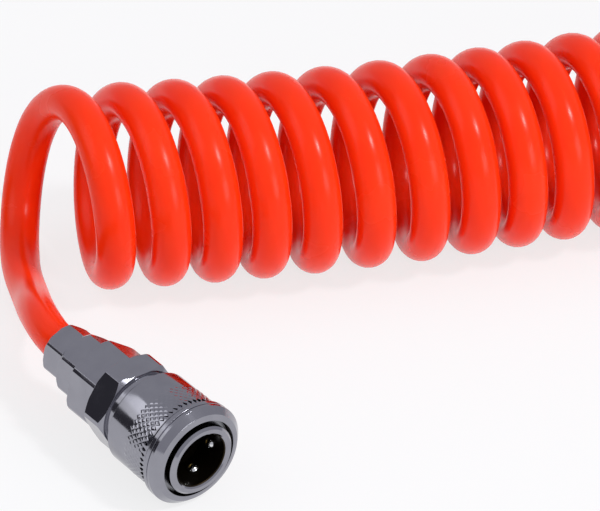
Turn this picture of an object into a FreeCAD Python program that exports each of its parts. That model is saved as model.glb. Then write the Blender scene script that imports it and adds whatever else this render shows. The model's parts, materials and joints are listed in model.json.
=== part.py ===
import FreeCAD, Part
import math
import os

import Sketcher

V = FreeCAD.Vector

# A coiled polyurethane air hose lying on a flat surface. One end carries a push-to-connect socket:
# clamp nut, barbed stem, hexagonal body with a spring-loaded valve, and a sliding release sleeve over
# six locking balls. The other end carries the matching plug. Millimetres, +X along the coil, +Z up.

DIMENSIONS = {
    # hose
    "hose_outer": 8.0,
    "hose_bore": 5.0,
    "coil_radius": 18.2,
    "coil_pitch": 11.4,
    "coil_tops": 18,
    "coil_sway": 0.67,
    "coil_sway_turns": 5.5,
    "coil_open_end": 15.6,
    "coil_end_turn": 0.52,
    "coil_bend_radius": 500.0,
    "coil_bend_from": 61.3,
    "coil_bend_span": 64.0,
    # where each fitting lies, along the way that the hose leaves its end of the coil
    "hose_lead": 8.0,
    "socket_free_run": 9.0,
    "plug_free_run": 6.0,
    "socket_inward": 8.24,
    "socket_forward": 45.67,
    "socket_turn": 36.4,
    "plug_inward": 6.1,
    "plug_forward": 34.5,
    "plug_turn": 30.6,
    "socket_tilt": -2.9,
    "plug_tilt": 4.0,
    # clamp nut
    "corner_ratio": 1.125,
    "hose_gap": 0.35,
    "collar_wall": 0.95,
    "collar_length": 6.0,
    "nut_length": 6.2,
    "nut_wall": 1.1,
    "thread_step": 1.05,
    "thread_gap": 0.1,
    # barbed stem
    "barb_height": 0.35,
    "barb_pitch": 1.5,
    "barb_count": 4,
    "stem_wall": 0.8,
    "stem_inset": 1.0,
    "stem_thread_length": 4.4,
    "stem_flats": 16.4,
    "stem_hex_length": 7.8,
    "joint_thread": 13.0,
    "joint_thread_length": 4.4,
    # socket body, from the hexagon to the mouth
    "body_flats": 18.6,
    "body_hex_length": 6.0,
    "land_length": 3.1,
    "chamber_length": 8.4,
    "packing_from_seat": 2.4,
    "packing_length": 1.8,
    "packing_section": 1.0,
    "packing_squeeze": 0.15,
    "packing_lip": 1.0,
    "plug_bore_depth": 7.8,
    "race_relief": 0.2,
    "mouth_chamfer": 0.5,
    "chamfer": 0.5,
    # locking balls
    "ball": 2.7,
    "ball_count": 6,
    "ball_depth": 5.2,
    "ball_reach": 0.75,
    "ball_slack": 0.05,
    "hole_taper": 0.15,
    # release sleeve
    "sleeve_stroke": 2.2,
    "sleeve_room": 0.3,
    "sleeve_inset": 1.1,
    "sleeve_wall": 0.9,
    "cavity_step": 0.9,
    "guide_length": 1.4,
    "ridge_length": 5.1,
    "ridge_lead_depth": 0.8,
    "grip_rise": 0.8,
    "grip_face": 1.4,
    "grip_band": 0.7,
    "grip_line": 0.3,
    "grip_flare": 1.1,
    "waist_depth": 0.3,
    "waist_length": 0.7,
    "lip_width": 0.4,
    "lip_flare": 0.9,
    "slide_gap": 0.1,
    # retaining ring
    "ring_groove": 0.5,
    "ring_stand": 0.75,
    "ring_thickness": 0.8,
    "ring_room": 0.2,
    "ring_opening": 50.0,
    # valve
    "valve_head": 10.8,
    "valve_head_length": 2.4,
    "valve_head_gap": 0.4,
    "valve_nose_length": 3.0,
    "valve_nose_gap": 0.4,
    "valve_nose_wall": 1.0,
    "valve_window": 1.4,
    "valve_stem": 4.0,
    "valve_stem_length": 2.6,
    "seal_thickness": 0.9,
    "seal_inset": 0.1,
    "gasket_thickness": 0.8,
    "gasket_width": 1.7,
    # springs
    "sleeve_wire": 0.7,
    "sleeve_coils": 3,
    "valve_wire": 0.6,
    "valve_coils": 3,
    "spring_room": 0.1,
    # plug
    "plug_nose": 9.0,
    "plug_collar": 11.96,
    "plug_gap": 0.07,
    "nose_gap": 0.1,
    "neck_gap": 0.4,
    "plug_air_bore": 5.6,
    "bore_step": 1.0,
    "plug_shank_length": 3.9,
    "plug_neck_length": 2.8,
    "plug_collar_length": 1.0,
    "plug_shoulder": 0.6,
    "plug_nose_length": 4.8,
}

HEX_ROLL = -4.0
BODY_ROLL = 31.0
BALL_ROLL = -10.0
RING_ROLL = 200.0
VALVE_WINDOWS = 4
HOSE_SIDES = 10
WIRE_SIDES = 4

doc = FreeCAD.newDocument("AirHose")
sheet = doc.addObject("Spreadsheet::Sheet", "Sizes")
for row, (alias, value) in enumerate(DIMENSIONS.items(), start=1):
    sheet.set(f"A{row}", alias.replace("_", " "))
    sheet.set(f"B{row}", str(value))
    sheet.setAlias(f"B{row}", alias)
doc.recompute()


class Size:
    """A length as both an expression on the sheet and its value, so sketches can be drawn and bound."""

    def __init__(self, text, value):
        self.text = text
        self.value = value

    def join(self, other, sign, result):
        other = as_size(other)
        return Size(f"({self.text} {sign} {other.text})", result(self.value, other.value))

    def __add__(self, other):
        return self.join(other, "+", lambda a, b: a + b)

    def __sub__(self, other):
        return self.join(other, "-", lambda a, b: a - b)

    def __mul__(self, other):
        return self.join(other, "*", lambda a, b: a * b)

    def __truediv__(self, other):
        return self.join(other, "/", lambda a, b: a / b)


def as_size(number):
    return number if isinstance(number, Size) else Size(repr(float(number)), float(number))


def size(alias):
    return Size(f"Sizes.{alias}", float(sheet.get(alias)))


ZERO = as_size(0.0)


def number(alias):
    return size(alias).value


# ---------------------------------------------------------------- sketches and features


def attach(feature, body, role, offset=ZERO):
    """Lie a sketch on one of its own body's origin planes, moved along the plane's normal."""
    plane = [f for f in body.Origin.OriginFeatures if f.Role == role][0]
    feature.AttachmentSupport = [(plane, "")]
    feature.MapMode = "FlatFace"
    feature.setExpression("AttachmentOffset.Base.z", offset.text)


def dimension(sketch, kind, geometry, point, target):
    """Bind one coordinate of a sketch point to an expression, measured from the sketch's origin."""
    if target.value == 0.0:
        axis = -2 if kind == "DistanceX" else -1
        sketch.addConstraint(Sketcher.Constraint("PointOnObject", geometry, point, axis))
        return
    index = sketch.addConstraint(Sketcher.Constraint(kind, -1, 1, geometry, point, target.value))
    sketch.setExpression(f"Constraints[{index}]", target.text)


def outline(sketch, corners):
    """A closed polygon whose every corner is bound to a pair of sizes."""
    points = [V(x.value, y.value, 0) for x, y in corners]
    count = len(points)
    for index, point in enumerate(points):
        sketch.addGeometry(Part.LineSegment(point, points[(index + 1) % count]), False)
    for index in range(count):
        sketch.addConstraint(Sketcher.Constraint("Coincident", index, 2, (index + 1) % count, 1))
    for index, (x, y) in enumerate(corners):
        dimension(sketch, "DistanceX", index, 1, x)
        dimension(sketch, "DistanceY", index, 1, y)


def new_body(label):
    body = doc.addObject("PartDesign::Body", label)
    body.Label = label
    return body


def turned(label, corners):
    """A body of revolution about its own Z axis, from (radius, station) corners."""
    body = new_body(label)
    sketch = body.newObject("Sketcher::SketchObject", f"{label}_profile")
    attach(sketch, body, "XZ_Plane")
    outline(sketch, corners)
    revolution = body.newObject("PartDesign::Revolution", f"{label}_turned")
    revolution.Profile = sketch
    revolution.ReferenceAxis = (sketch, ["V_Axis"])
    revolution.Angle = 360.0
    doc.recompute()
    return body


def mill_hexagon(body, start, length, across_flats, across_corners):
    """Mill six flats: everything outside the hexagon goes, over one length of the bar."""
    before = body.Shape.Volume
    sketch = body.newObject("Sketcher::SketchObject", f"{body.Label}_hexagon")
    attach(sketch, body, "XY_Plane", start)
    radius = across_flats.value / math.sqrt(3)
    corners = [V(radius * math.cos(k * math.pi / 3), radius * math.sin(k * math.pi / 3), 0) for k in range(6)]
    for k in range(6):
        sketch.addGeometry(Part.LineSegment(corners[k], corners[(k + 1) % 6]), False)
    sketch.addGeometry(Part.Circle(V(0, 0, 0), V(0, 0, 1), radius), True)
    sketch.addConstraint(Sketcher.Constraint("Coincident", 6, 3, -1, 1))
    for k in range(6):
        sketch.addConstraint(Sketcher.Constraint("Coincident", k, 2, (k + 1) % 6, 1))
        sketch.addConstraint(Sketcher.Constraint("PointOnObject", k, 1, 6))
        if k:
            sketch.addConstraint(Sketcher.Constraint("Equal", 0, k))
    sketch.addConstraint(Sketcher.Constraint("PointOnObject", 0, 1, -1))
    across = sketch.addConstraint(Sketcher.Constraint("Distance", 0, radius))
    sketch.setExpression(f"Constraints[{across}]", f"{across_flats.text} / sqrt(3)")
    sketch.addGeometry(Part.Circle(V(0, 0, 0), V(0, 0, 1), across_corners.value), False)
    sketch.addConstraint(Sketcher.Constraint("Coincident", 7, 3, -1, 1))
    rim = sketch.addConstraint(Sketcher.Constraint("Radius", 7, across_corners.value))
    sketch.setExpression(f"Constraints[{rim}]", across_corners.text)
    pocket = body.newObject("PartDesign::Pocket", f"{body.Label}_flats")
    pocket.Profile = sketch
    pocket.setExpression("Length", length.text)
    pocket.Reversed = True
    doc.recompute()
    if body.Shape.Volume >= before:
        raise ValueError(f"the flats of {body.Label} cut nothing")


def drill_round(body, count, station, inner, outer, reach, roll):
    """A ring of radial holes, each a cone that opens outwards, the first turned by the roll."""
    before = body.Shape.Volume
    cone = body.newObject("PartDesign::SubtractiveCone", f"{body.Label}_hole")
    cone.setExpression("Radius1", inner.text)
    cone.setExpression("Radius2", outer.text)
    cone.setExpression("Height", reach.text)
    across = FreeCAD.Rotation(V(0, 0, 1), roll).multiply(FreeCAD.Rotation(V(0, 1, 0), 90))
    cone.AttachmentOffset = FreeCAD.Placement(V(0, 0, station.value), across)
    cone.setExpression("AttachmentOffset.Base.z", station.text)
    cone.AttachmentSupport = [([f for f in body.Origin.OriginFeatures if f.Role == "XY_Plane"][0], "")]
    cone.MapMode = "FlatFace"
    doc.recompute()
    pattern = body.newObject("PartDesign::PolarPattern", f"{body.Label}_holes")
    pattern.Originals = [cone]
    pattern.Axis = ([f for f in body.Origin.OriginFeatures if f.Role == "Z_Axis"][0], [""])
    pattern.Angle = 360.0
    pattern.Occurrences = count
    body.Tip = pattern
    doc.recompute()
    if body.Shape.Volume >= before:
        raise ValueError(f"the holes of {body.Label} cut nothing")


# ---------------------------------------------------------------- wound and free hose


def arc_between(start, corner, end):
    """The arc that leaves start towards corner and arrives at end from it."""
    to_start = start - corner
    to_end = end - corner
    middle = (to_start + to_end) * 0.5
    half = to_start.getAngle(to_end) / 2
    radius = to_start.Length * math.tan(half)
    direction = middle.normalize()
    return Part.Arc(start, corner + direction * (radius / math.sin(half) - radius), end).toShape()


def biarc(start, start_way, end, end_way):
    """Two arcs that join two points and keep both tangents."""
    across = end - start
    ways = start_way + end_way
    a = ways.dot(ways) - 4
    b = -2 * across.dot(ways)
    c = across.dot(across)
    reach = (-b - math.sqrt(b * b - 4 * a * c)) / (2 * a)
    first = start + start_way * reach
    second = end - end_way * reach
    middle = (first + second) * 0.5
    return [arc_between(start, first, middle), arc_between(middle, second, end)]


def wound_path(place, stations):
    """Arcs through the stations of a winding; place gives the point and direction at each."""
    ends = [place(station) for station in stations]
    edges = []
    for (start, start_way), (end, end_way) in zip(ends, ends[1:]):
        edges += biarc(start, start_way, end, end_way)
    return edges


def route_path(points):
    """Straight runs joined by tangent arcs, each as large as its two runs allow; with the radii."""
    runs = [(b - a).Length for a, b in zip(points, points[1:])]
    edges = []
    radii = []
    start = points[0]
    for index in range(1, len(points) - 1):
        corner = points[index]
        back = (points[index - 1] - corner).normalize()
        ahead = (points[index + 1] - corner).normalize()
        cut = 0.45 * min(runs[index - 1], runs[index])
        radii.append(cut / math.tan((math.pi - back.getAngle(ahead)) / 2))
        edges.append(Part.LineSegment(start, corner + back * cut).toShape())
        edges.append(arc_between(corner + back * cut, corner, corner + ahead * cut))
        start = corner + ahead * cut
    edges.append(Part.LineSegment(start, points[-1]).toShape())
    return edges, radii


def across_corners(width, sides):
    """Centre to corner of the polygon that has the same area as the round it stands for."""
    return width / 2 / math.sqrt(sides / (2 * math.pi) * math.sin(2 * math.pi / sides))


def section(centre, way, up, width, sides):
    """A regular polygon about the path, one flat on the level below it."""
    corner = across_corners(width, sides)
    side = way.cross(up).normalize()
    rise = side.cross(way).normalize()
    angles = [2 * math.pi * (k + 0.5) / sides for k in range(sides)]
    points = [centre + side * (corner * math.cos(a)) + rise * (corner * math.sin(a)) for a in angles]
    return Part.makePolygon(points + points[:1])


def swept(edges, profile):
    solid = Part.Wire(edges).makePipeShell([profile], True, False)
    if solid.Volume < 0:
        solid.reverse()
    return solid


def feature(label, shape):
    item = doc.addObject("Part::Feature", label)
    item.Label = label
    item.Shape = shape
    return item


def least_gap(points, turn, thickness):
    """The least clear distance between one turn of a winding and the next."""
    pairs = zip(points, points[turn:])
    least = min((a - b).Length for a, b in pairs)
    return least - thickness


# ---------------------------------------------------------------- the lie of the hose


radius = number("coil_radius")
pitch = number("coil_pitch")
tops = int(number("coil_tops"))
hose = number("hose_outer")
hose_corner = across_corners(hose, HOSE_SIDES)
axis_height = radius + hose_corner


def axis_offset(along):
    """The coil's axis lies in a gentle bend, which turns back past its middle."""
    from_middle = along - number("coil_bend_from")
    bent = min(from_middle, number("coil_bend_span"))
    past = from_middle - bent
    return (bent * bent / 2 + bent * past - past * past / 2) / number("coil_bend_radius")


def coil_along(turn):
    """How far along X a turn has come: a steady pitch, a slow sway, and open end turns."""
    sway = number("coil_sway") * math.sin(2 * math.pi * turn / number("coil_sway_turns"))
    opening = max(turn - (tops - 1), 0.0) ** 1.5 - max(-turn, 0.0) ** 1.5
    return pitch * turn + sway + number("coil_open_end") * opening


def coil_point(turn):
    along = coil_along(turn)
    angle = 2 * math.pi * turn
    return V(along, axis_offset(along) - radius * math.sin(angle), axis_height + radius * math.cos(angle))


def coil_place(turn):
    step = 1e-4
    return coil_point(turn), (coil_point(turn + step) - coil_point(turn - step)).normalize()


class End:
    """One end of the coil, just past its lowest point, and the way that the hose leaves it."""

    def __init__(self, turn, sign):
        self.start, way = coil_place(turn)
        self.way = way * sign
        self.forward = V(self.way.x, self.way.y, 0).normalize()
        self.inward = V(-self.forward.y, self.forward.x, 0)
        self.join = self.start + self.way * number("hose_lead")

    def fitting(self, name, height, tilt):
        """The hose entry of a fitting and the frame whose Z runs from there to its mouth."""
        level = self.forward * number(f"{name}_forward") + self.inward * number(f"{name}_inward")
        entry = V(self.start.x, self.start.y, height) + level
        turn = math.radians(number(f"{name}_turn"))
        heading = self.forward * math.cos(turn) + self.inward * math.sin(turn)
        way = heading * math.cos(tilt) + V(0, 0, math.sin(tilt))
        up = V(0, 0, 1) - way * way.z
        return FreeCAD.Placement(entry, FreeCAD.Rotation(up, way.cross(up), way, "ZXY"))


near_end = End(-number("coil_end_turn"), -1)
far_end = End(tops - 1 + number("coil_end_turn"), 1)

# ---------------------------------------------------------------- radii and stations along a fitting's axis


def half(alias):
    return size(alias) / 2


chamfer = size("chamfer")
slide = size("slide_gap")

# clamp nut and stem, from the hose entry forwards
mouth_bore = half("hose_outer") + size("hose_gap")
collar_flats = (mouth_bore + size("collar_wall")) * 2
thread = mouth_bore + size("thread_step")
nut_flats = (thread + size("nut_wall")) * 2
nut_step = size("collar_length")
nut_face = nut_step + size("nut_length")
hose_seat = nut_face - size("stem_thread_length")
thread_start = hose_seat - size("thread_step") * 1.1
barb_root = half("hose_bore")
air_bore = barb_root - size("stem_wall")
hex_face = nut_face + size("stem_hex_length")

# body, from its hexagon to the mouth
joint_end = hex_face + size("joint_thread_length")
gasket_end = joint_end + size("gasket_thickness")
body_hex_end = hex_face + size("body_hex_length")
land_end = body_hex_end + size("land_length")
seat = gasket_end + size("chamber_length")
packing_rear = seat + size("packing_from_seat")
packing_front = packing_rear + size("packing_length")
bore_end = packing_front + size("packing_lip")
mouth = bore_end + size("plug_bore_depth")
plug_bore = half("plug_collar") + size("plug_gap")
nose_bore = half("plug_nose") + size("nose_gap")
packing_bore = nose_bore + size("packing_section")
chamber = half("valve_head") + size("valve_head_gap")

# balls, and the sleeve that runs over them
ball_station = mouth - size("ball_depth")
ball_centre = plug_bore - size("ball_reach") + half("ball")
race_end = ball_station + half("ball") + size("ball_slack")
race = plug_bore + size("race_relief")
ridge_bore = ball_centre + half("ball") + size("ball_slack")
body_nose = ridge_bore - slide
land = body_nose + size("sleeve_wire") + size("spring_room") * 2.5
cavity = land + size("cavity_step")
barrel = cavity + size("sleeve_wall")
grip = barrel + size("grip_rise")
waist = barrel - size("waist_depth")
ridge_front = ball_station + half("ball") + size("ball_slack") * 5
ridge_rear = ridge_front - size("ridge_length")
sleeve_rear = body_hex_end + size("sleeve_stroke") + size("sleeve_room")
guide_end = sleeve_rear + size("guide_length")
sleeve_front = mouth - size("sleeve_inset")
band_front = sleeve_front - size("lip_width") - size("grip_face") + size("grip_line") / 3
band_middle = band_front - size("grip_band")
band_rear = band_middle - size("grip_line") - size("grip_band") * 1.3
waist_front = band_rear - size("grip_flare")
waist_rear = waist_front - size("waist_length")

# retaining ring
groove = body_nose - size("ring_groove")
ring_outer = body_nose + size("ring_stand")
ring_rear = ridge_front + slide / 2
ring_front = ring_rear + size("ring_thickness")
front_bore = ring_outer + size("ring_room")
lip = front_bore + size("lip_width")

# valve
head_front = seat - size("seal_thickness")
head_rear = head_front - size("valve_head_length")
valve_nose = nose_bore - size("valve_nose_gap")


def rests(radius, station, tilt):
    """How high the hose entry sits when a round of this radius, at this station, touches the ground."""
    return radius * math.cos(tilt) - station * math.sin(tilt)


socket_tilt = math.radians(number("socket_tilt"))
plug_tilt = math.radians(number("plug_tilt"))
stem_corner = half("stem_flats") * number("corner_ratio")
on_grip = rests(grip.value, band_front.value, socket_tilt)
on_lip = rests((lip + size("lip_flare")).value, (sleeve_front - size("grip_line")).value, socket_tilt)
socket_frame = near_end.fitting("socket", max(on_grip, on_lip), socket_tilt)
plug_frame = far_end.fitting("plug", rests(stem_corner.value, nut_face.value, plug_tilt), plug_tilt)


def rolled(frame, degrees):
    return frame.multiply(FreeCAD.Placement(V(0, 0, 0), FreeCAD.Rotation(V(0, 0, 1), degrees)))


# ---------------------------------------------------------------- clamp nut and barbed stem


def turned_corner(across_flats):
    """The radius that a hexagonal bar is turned to before its corners show."""
    return across_flats / 2 * size("corner_ratio")


def clamp_nut(label, frame):
    """The nut that squeezes the hose onto its barbs: a slim hexagonal collar behind a wider hexagon."""
    collar = turned_corner(collar_flats)
    outer = turned_corner(nut_flats)
    body = turned(label, [
        (mouth_bore, ZERO),
        (collar - chamfer, ZERO),
        (collar, chamfer),
        (collar, nut_step),
        (outer - chamfer, nut_step + chamfer / 2),
        (outer, nut_step + chamfer * 2),
        (outer, nut_face),
        (thread, nut_face),
        (thread, hose_seat),
        (mouth_bore, thread_start),
    ])
    mill_hexagon(body, ZERO, nut_step, collar_flats, outer * 2)
    mill_hexagon(body, nut_step, size("nut_length"), nut_flats, outer * 2)
    body.Placement = rolled(frame, HEX_ROLL)
    return body


def barb_outline():
    """The barbed tail inside the hose, from its tip to where the hose seats."""
    corners = [(barb_root - size("barb_height"), size("stem_inset"))]
    for index in range(int(number("barb_count"))):
        foot = size("stem_inset") + size("barb_pitch") * (index + 1)
        corners.append((barb_root + size("barb_height"), foot))
        corners.append((barb_root, foot))
    return corners + [(barb_root, hose_seat)]


def barbed_shank():
    """The whole rear of a stem, from the barbs to the front of its hexagon."""
    screw = thread - size("thread_gap")
    corner = turned_corner(size("stem_flats"))
    return barb_outline() + [
        (screw, hose_seat),
        (screw, nut_face),
        (corner - chamfer, nut_face),
        (corner, nut_face + chamfer),
        (corner, hex_face),
    ]


def mill_stem(body):
    corner = turned_corner(size("stem_flats"))
    mill_hexagon(body, nut_face, size("stem_hex_length"), size("stem_flats"), corner * 2)


nut_near = clamp_nut("clamp_nut_socket", socket_frame)
nut_far = clamp_nut("clamp_nut_plug", plug_frame)

joint_thread = half("joint_thread") - size("thread_gap")
stem = turned("hose_stem", barbed_shank() + [
    (joint_thread, hex_face),
    (joint_thread, joint_end - chamfer),
    (joint_thread - chamfer, joint_end),
    (air_bore, joint_end),
    (air_bore, size("stem_inset")),
])
mill_stem(stem)
stem.Placement = rolled(socket_frame, HEX_ROLL)

# ---------------------------------------------------------------- socket body

mouth_chamfer = size("mouth_chamfer")
corner = turned_corner(size("body_flats"))
socket = turned("socket_body", [
    (half("joint_thread"), hex_face),
    (corner - chamfer * 2, hex_face),
    (corner, hex_face + chamfer * 1.5),
    (corner, body_hex_end - chamfer * 1.5),
    (corner - chamfer * 2, body_hex_end),
    (land, body_hex_end),
    (land, land_end),
    (body_nose, land_end),
    (body_nose, ring_rear),
    (groove, ring_rear),
    (groove, ring_front),
    (body_nose, ring_front),
    (body_nose, mouth - mouth_chamfer),
    (body_nose - mouth_chamfer, mouth),
    (plug_bore + mouth_chamfer, mouth),
    (plug_bore, mouth - mouth_chamfer),
    (plug_bore, race_end),
    (race, race_end),
    (race, bore_end),
    (nose_bore, bore_end),
    (nose_bore, packing_front),
    (packing_bore, packing_front),
    (packing_bore, packing_rear),
    (nose_bore, packing_rear),
    (nose_bore, seat),
    (chamber, seat),
    (chamber, gasket_end),
    (half("joint_thread"), gasket_end),
])
mill_hexagon(socket, hex_face, size("body_hex_length"), size("body_flats"), corner * 2)
hole_reach = body_nose + slide * 3
hole_start = half("ball") + slide / 4 - ball_centre * size("hole_taper")
hole_end = hole_start + hole_reach * size("hole_taper")
drill_round(socket, int(number("ball_count")), ball_station, hole_start, hole_end, hole_reach, BALL_ROLL)
socket.Placement = rolled(socket_frame, BODY_ROLL)

gasket_outer = half("joint_thread") - size("thread_gap")
gasket = turned("body_gasket", [
    (gasket_outer - size("gasket_width"), joint_end),
    (gasket_outer, joint_end),
    (gasket_outer, gasket_end),
    (gasket_outer - size("gasket_width"), gasket_end),
])
gasket.Placement = socket_frame

packing_inner = nose_bore - size("packing_squeeze")
packing = turned("plug_packing", [
    (packing_inner, packing_rear),
    (packing_bore, packing_rear),
    (packing_bore, packing_front),
    (packing_inner, packing_front),
])
packing.Placement = socket_frame

# ---------------------------------------------------------------- release sleeve, ring and balls

guide_bore = land + slide
line_depth = size("grip_line")
sleeve = turned("release_sleeve", [
    (guide_bore, sleeve_rear),
    (barrel - chamfer, sleeve_rear),
    (barrel, sleeve_rear + chamfer),
    (barrel, waist_rear - size("waist_depth") * 2.5),
    (waist, waist_rear),
    (waist, waist_front),
    (grip, band_rear),
    (grip, band_middle - line_depth),
    (grip - line_depth, band_middle - line_depth / 2),
    (grip, band_middle),
    (grip, band_front),
    (lip + size("lip_flare"), sleeve_front - line_depth),
    (lip, sleeve_front),
    (front_bore, sleeve_front),
    (front_bore, ridge_front),
    (ridge_bore + size("ridge_lead_depth"), ridge_front),
    (ridge_bore, ball_station - size("ball_slack") * 5),
    (ridge_bore, ridge_rear),
    (cavity, ridge_rear),
    (cavity, guide_end),
    (guide_bore, guide_end),
])
sleeve.Placement = socket_frame


def open_ring(label, inner, outer, start, end, opening):
    """A spring ring with a gap, turned through less than a full circle."""
    ring = new_body(label)
    sketch = ring.newObject("Sketcher::SketchObject", f"{label}_profile")
    attach(sketch, ring, "XZ_Plane")
    outline(sketch, [(inner, start), (outer, start), (outer, end), (inner, end)])
    revolution = ring.newObject("PartDesign::Revolution", f"{label}_bent")
    revolution.Profile = sketch
    revolution.ReferenceAxis = (sketch, ["V_Axis"])
    revolution.setExpression("Angle", f"360 - {opening.text}")
    doc.recompute()
    return ring


ring = open_ring("snap_ring", groove, ring_outer, ring_rear, ring_front, size("ring_opening"))
ring.Placement = rolled(socket_frame, RING_ROLL)

balls = []
ball_count = int(number("ball_count"))
for index in range(ball_count):
    ball = doc.addObject("Part::Sphere", f"locking_ball_{index + 1}")
    ball.Label = f"locking_ball_{index + 1}"
    ball.setExpression("Radius", half("ball").text)
    hole = rolled(socket_frame, BODY_ROLL + BALL_ROLL + 360 * index / ball_count)
    ball.Placement = hole.multiply(FreeCAD.Placement(V(ball_centre.value, 0, ball_station.value), FreeCAD.Rotation()))
    balls.append(ball)

# ---------------------------------------------------------------- valve

nose_floor = head_front + size("valve_nose_wall") * 0.6
nose_end = head_front + size("valve_nose_length")
valve = turned("valve_poppet", [
    (ZERO, head_rear - size("valve_stem_length")),
    (half("valve_stem"), head_rear - size("valve_stem_length")),
    (half("valve_stem"), head_rear),
    (half("valve_head"), head_rear),
    (half("valve_head"), head_front),
    (valve_nose, head_front),
    (valve_nose, nose_end),
    (valve_nose - size("valve_nose_wall"), nose_end),
    (valve_nose - size("valve_nose_wall"), nose_floor),
    (ZERO, nose_floor),
])
window = half("valve_window")
drill_round(valve, VALVE_WINDOWS, seat + window, window, window, valve_nose + slide, 0.0)
valve.Placement = socket_frame

seal_outer = half("valve_head") - size("seal_inset")
seal = turned("valve_seal", [
    (valve_nose, head_front),
    (seal_outer, head_front),
    (seal_outer, seat),
    (valve_nose, seat),
])
seal.Placement = socket_frame


def coil_spring(label, around, wire, coils, start, end, frame):
    """A compression spring along its own Z, between two faces and clear of the round that it goes over."""
    length = end - start - wire
    mean = around + number("spring_room") + across_corners(wire, WIRE_SIDES)

    def place(turn):
        angle = 2 * math.pi * turn
        point = V(mean * math.cos(angle), mean * math.sin(angle), start + wire / 2 + length * turn / coils)
        way = V(-mean * math.sin(angle), mean * math.cos(angle), length / coils / (2 * math.pi))
        return point, way.normalize()

    first, way = place(0)
    profile = section(first, way, V(0, 0, 1), wire, WIRE_SIDES)
    halves = [k / 2 for k in range(2 * coils + 1)]
    spring = feature(label, swept(wound_path(place, halves), profile))
    spring.Placement = frame
    points = [place(k / 48)[0] for k in range(48 * coils + 1)]
    print("least gap in", label, round(least_gap(points, 48, wire), 2))
    return spring


sleeve_spring = coil_spring(
    "sleeve_spring", body_nose.value, number("sleeve_wire"), int(number("sleeve_coils")),
    land_end.value, ridge_rear.value, socket_frame)
valve_spring = coil_spring(
    "valve_spring", number("valve_stem") / 2, number("valve_wire"), int(number("valve_coils")),
    joint_end.value, head_rear.value, socket_frame)

# ---------------------------------------------------------------- plug

plug_collar = half("plug_collar")
plug_nose = half("plug_nose")
plug_neck = plug_bore - size("ball_reach") - size("neck_gap")
neck_start = hex_face + size("plug_shank_length")
neck_end = neck_start + size("plug_neck_length")
collar_end = neck_end + size("plug_collar_length")
nose_start = collar_end + size("plug_shoulder")
plug_tip = nose_start + size("plug_nose_length")
plug = turned("plug_body", barbed_shank() + [
    (plug_collar, hex_face),
    (plug_collar, neck_start),
    (plug_neck, neck_start + (plug_collar - plug_neck)),
    (plug_neck, neck_end - (plug_collar - plug_neck) / 2),
    (plug_collar, neck_end),
    (plug_collar, collar_end - chamfer),
    (plug_nose, nose_start),
    (plug_nose, plug_tip - chamfer),
    (plug_nose - chamfer, plug_tip),
    (half("plug_air_bore"), plug_tip),
    (half("plug_air_bore"), nut_face + size("bore_step")),
    (air_bore, nut_face),
    (air_bore, size("stem_inset")),
])
mill_stem(plug)
plug.Placement = rolled(plug_frame, HEX_ROLL)

# ---------------------------------------------------------------- hose

end_turn = number("coil_end_turn")
span = (tops - 1 + 2 * end_turn) / (2 * tops)
turns = [-end_turn + span * k for k in range(2 * tops + 1)]
coil_edges = [Part.LineSegment(near_end.join, near_end.start).toShape()]
coil_edges += wound_path(coil_place, turns)
coil_edges += [Part.LineSegment(far_end.start, far_end.join).toShape()]
near_section = section(near_end.join, near_end.way, V(0, 0, 1), hose, HOSE_SIDES)
coil = feature("hose_coil", swept(coil_edges, near_section))
samples = [coil_point(k / 48 - end_turn) for k in range(48 * tops)]
print("least gap between coil turns", round(least_gap(samples, 48, 2 * hose_corner), 2))
wound = sum(edge.Length for edge in coil_edges)


# The points of the free hose behind each nut, chosen by hand in the fitting's own frame, from the coil on.
SOCKET_ROUTE = [V(-2.15, -2.58, -13.6), V(0, 0, -3.3)]
PLUG_ROUTE = [V(0, 0, -8)]


def hose_tail(name, end, frame, own_points, profile):
    """The free hose from the coil to a fitting, pressed over the barbs inside the nut."""
    points = [end.join, end.join + end.way * number(f"{name}_free_run")]
    points += [frame.multVec(point) for point in own_points + [V(0, 0, hose_seat.value)]]
    edges, radii = route_path(points)
    label = f"hose_tail_{name}"
    print(label, "bend radii", [round(r, 1) for r in radii])
    tube = swept(edges, profile)
    barbs = [V(0, 0, number("stem_inset"))] + [V(r.value, 0, z.value) for r, z in barb_outline()]
    barbs += [V(0, 0, hose_seat.value), barbs[0]]
    core = Part.Face(Part.makePolygon(barbs)).revolve(V(0, 0, 0), V(0, 0, 1), 360)
    core.Placement = frame
    return feature(label, tube.cut(core)), sum(edge.Length for edge in edges)


def end_section(shape, near):
    """The end face of a swept tube, so that the next length starts on the same outline."""
    faces = sorted(shape.Faces, key=lambda f: (f.CenterOfMass - near).Length)
    return faces[0].OuterWire


tail_near, near_length = hose_tail("socket", near_end, socket_frame, SOCKET_ROUTE, near_section)
tail_far, far_length = hose_tail("plug", far_end, plug_frame, PLUG_ROUTE,
                                 end_section(coil.Shape, far_end.join))
print("hose length", round(wound + near_length + far_length))

# ---------------------------------------------------------------- checks, origin and export

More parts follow.
